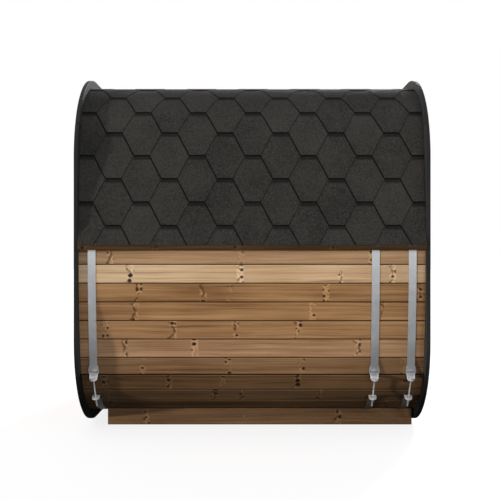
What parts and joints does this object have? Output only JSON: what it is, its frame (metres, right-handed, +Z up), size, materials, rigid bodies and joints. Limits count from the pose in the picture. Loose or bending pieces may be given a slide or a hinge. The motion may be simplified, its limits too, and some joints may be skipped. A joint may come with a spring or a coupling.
{
  "type": "rounded-square outdoor sauna cabin",
  "caption": "Outdoor sauna cabin with a rounded-square section: horizontal boards in steel straps, black end rims, a shingled upper half, a recessed front and base beams.",
  "frame": {"origin": "on the ground, below the middle of the cabin's length and width", "axes": "+X along the cabin towards the door and porch, +Y to the right of someone who faces the door from outside, +Z up"},
  "size_m": [2.16, 2.2972, 2.28],
  "materials": {
    "wall_boards": "heat-treated softwood boards with knots, lightly oiled",
    "rim_wood": "softwood boards with a matt black stain",
    "door_wood": "heat-treated softwood, planed smooth",
    "door_pane": "tinted toughened glass",
    "hinge_steel": "satin steel",
    "shingles": "black bitumen shingles with mineral granules, hexagonal tabs",
    "lath_wood": "dark heat-treated softwood",
    "strap_steel": "rolled stainless band, satin",
    "tension_steel": "bright zinc plate",
    "base_wood": "rough heat-treated softwood"
  },
  "bodies": {
    "root": {"left_wall": "wall_boards", "right_wall": "wall_boards", "roof_deck": "wall_boards", "floor_deck": "wall_boards", "left_lower_corner": "wall_boards", "right_lower_corner": "wall_boards", "left_upper_corner": "wall_boards", "right_upper_corner": "wall_boards", "back_wall": "wall_boards", "front_wall_left": "wall_boards", "front_wall_right": "wall_boards", "front_wall_top": "wall_boards", "front_wall_sill": "wall_boards", "front_rim_sides": "rim_wood", "front_rim_top_and_bottom": "rim_wood", "front_rim_corners": "rim_wood", "back_rim_sides": "rim_wood", "back_rim_top_and_bottom": "rim_wood", "back_rim_corners": "rim_wood", "door_frame": "door_wood", "door_leaf": "door_wood", "door_handle": "door_wood", "door_glass": "door_pane", "door_hinges": "hinge_steel", "roof_shingles": "shingles", "left_eaves_lath": "lath_wood", "right_eaves_lath": "lath_wood", "rear_strap_over_roof": "strap_steel", "rear_strap_under_floor": "strap_steel", "middle_strap_over_roof": "strap_steel", "middle_strap_under_floor": "strap_steel", "front_strap_over_roof": "strap_steel", "front_strap_under_floor": "strap_steel", "rear_strap_brackets": "tension_steel", "rear_strap_bolts": "tension_steel", "middle_strap_brackets": "tension_steel", "middle_strap_bolts": "tension_steel", "front_strap_brackets": "tension_steel", "front_strap_bolts": "tension_steel", "left_base_beam": "base_wood", "right_base_beam": "base_wood", "cross_bearers": "base_wood"}
  },
  "joints": []
}
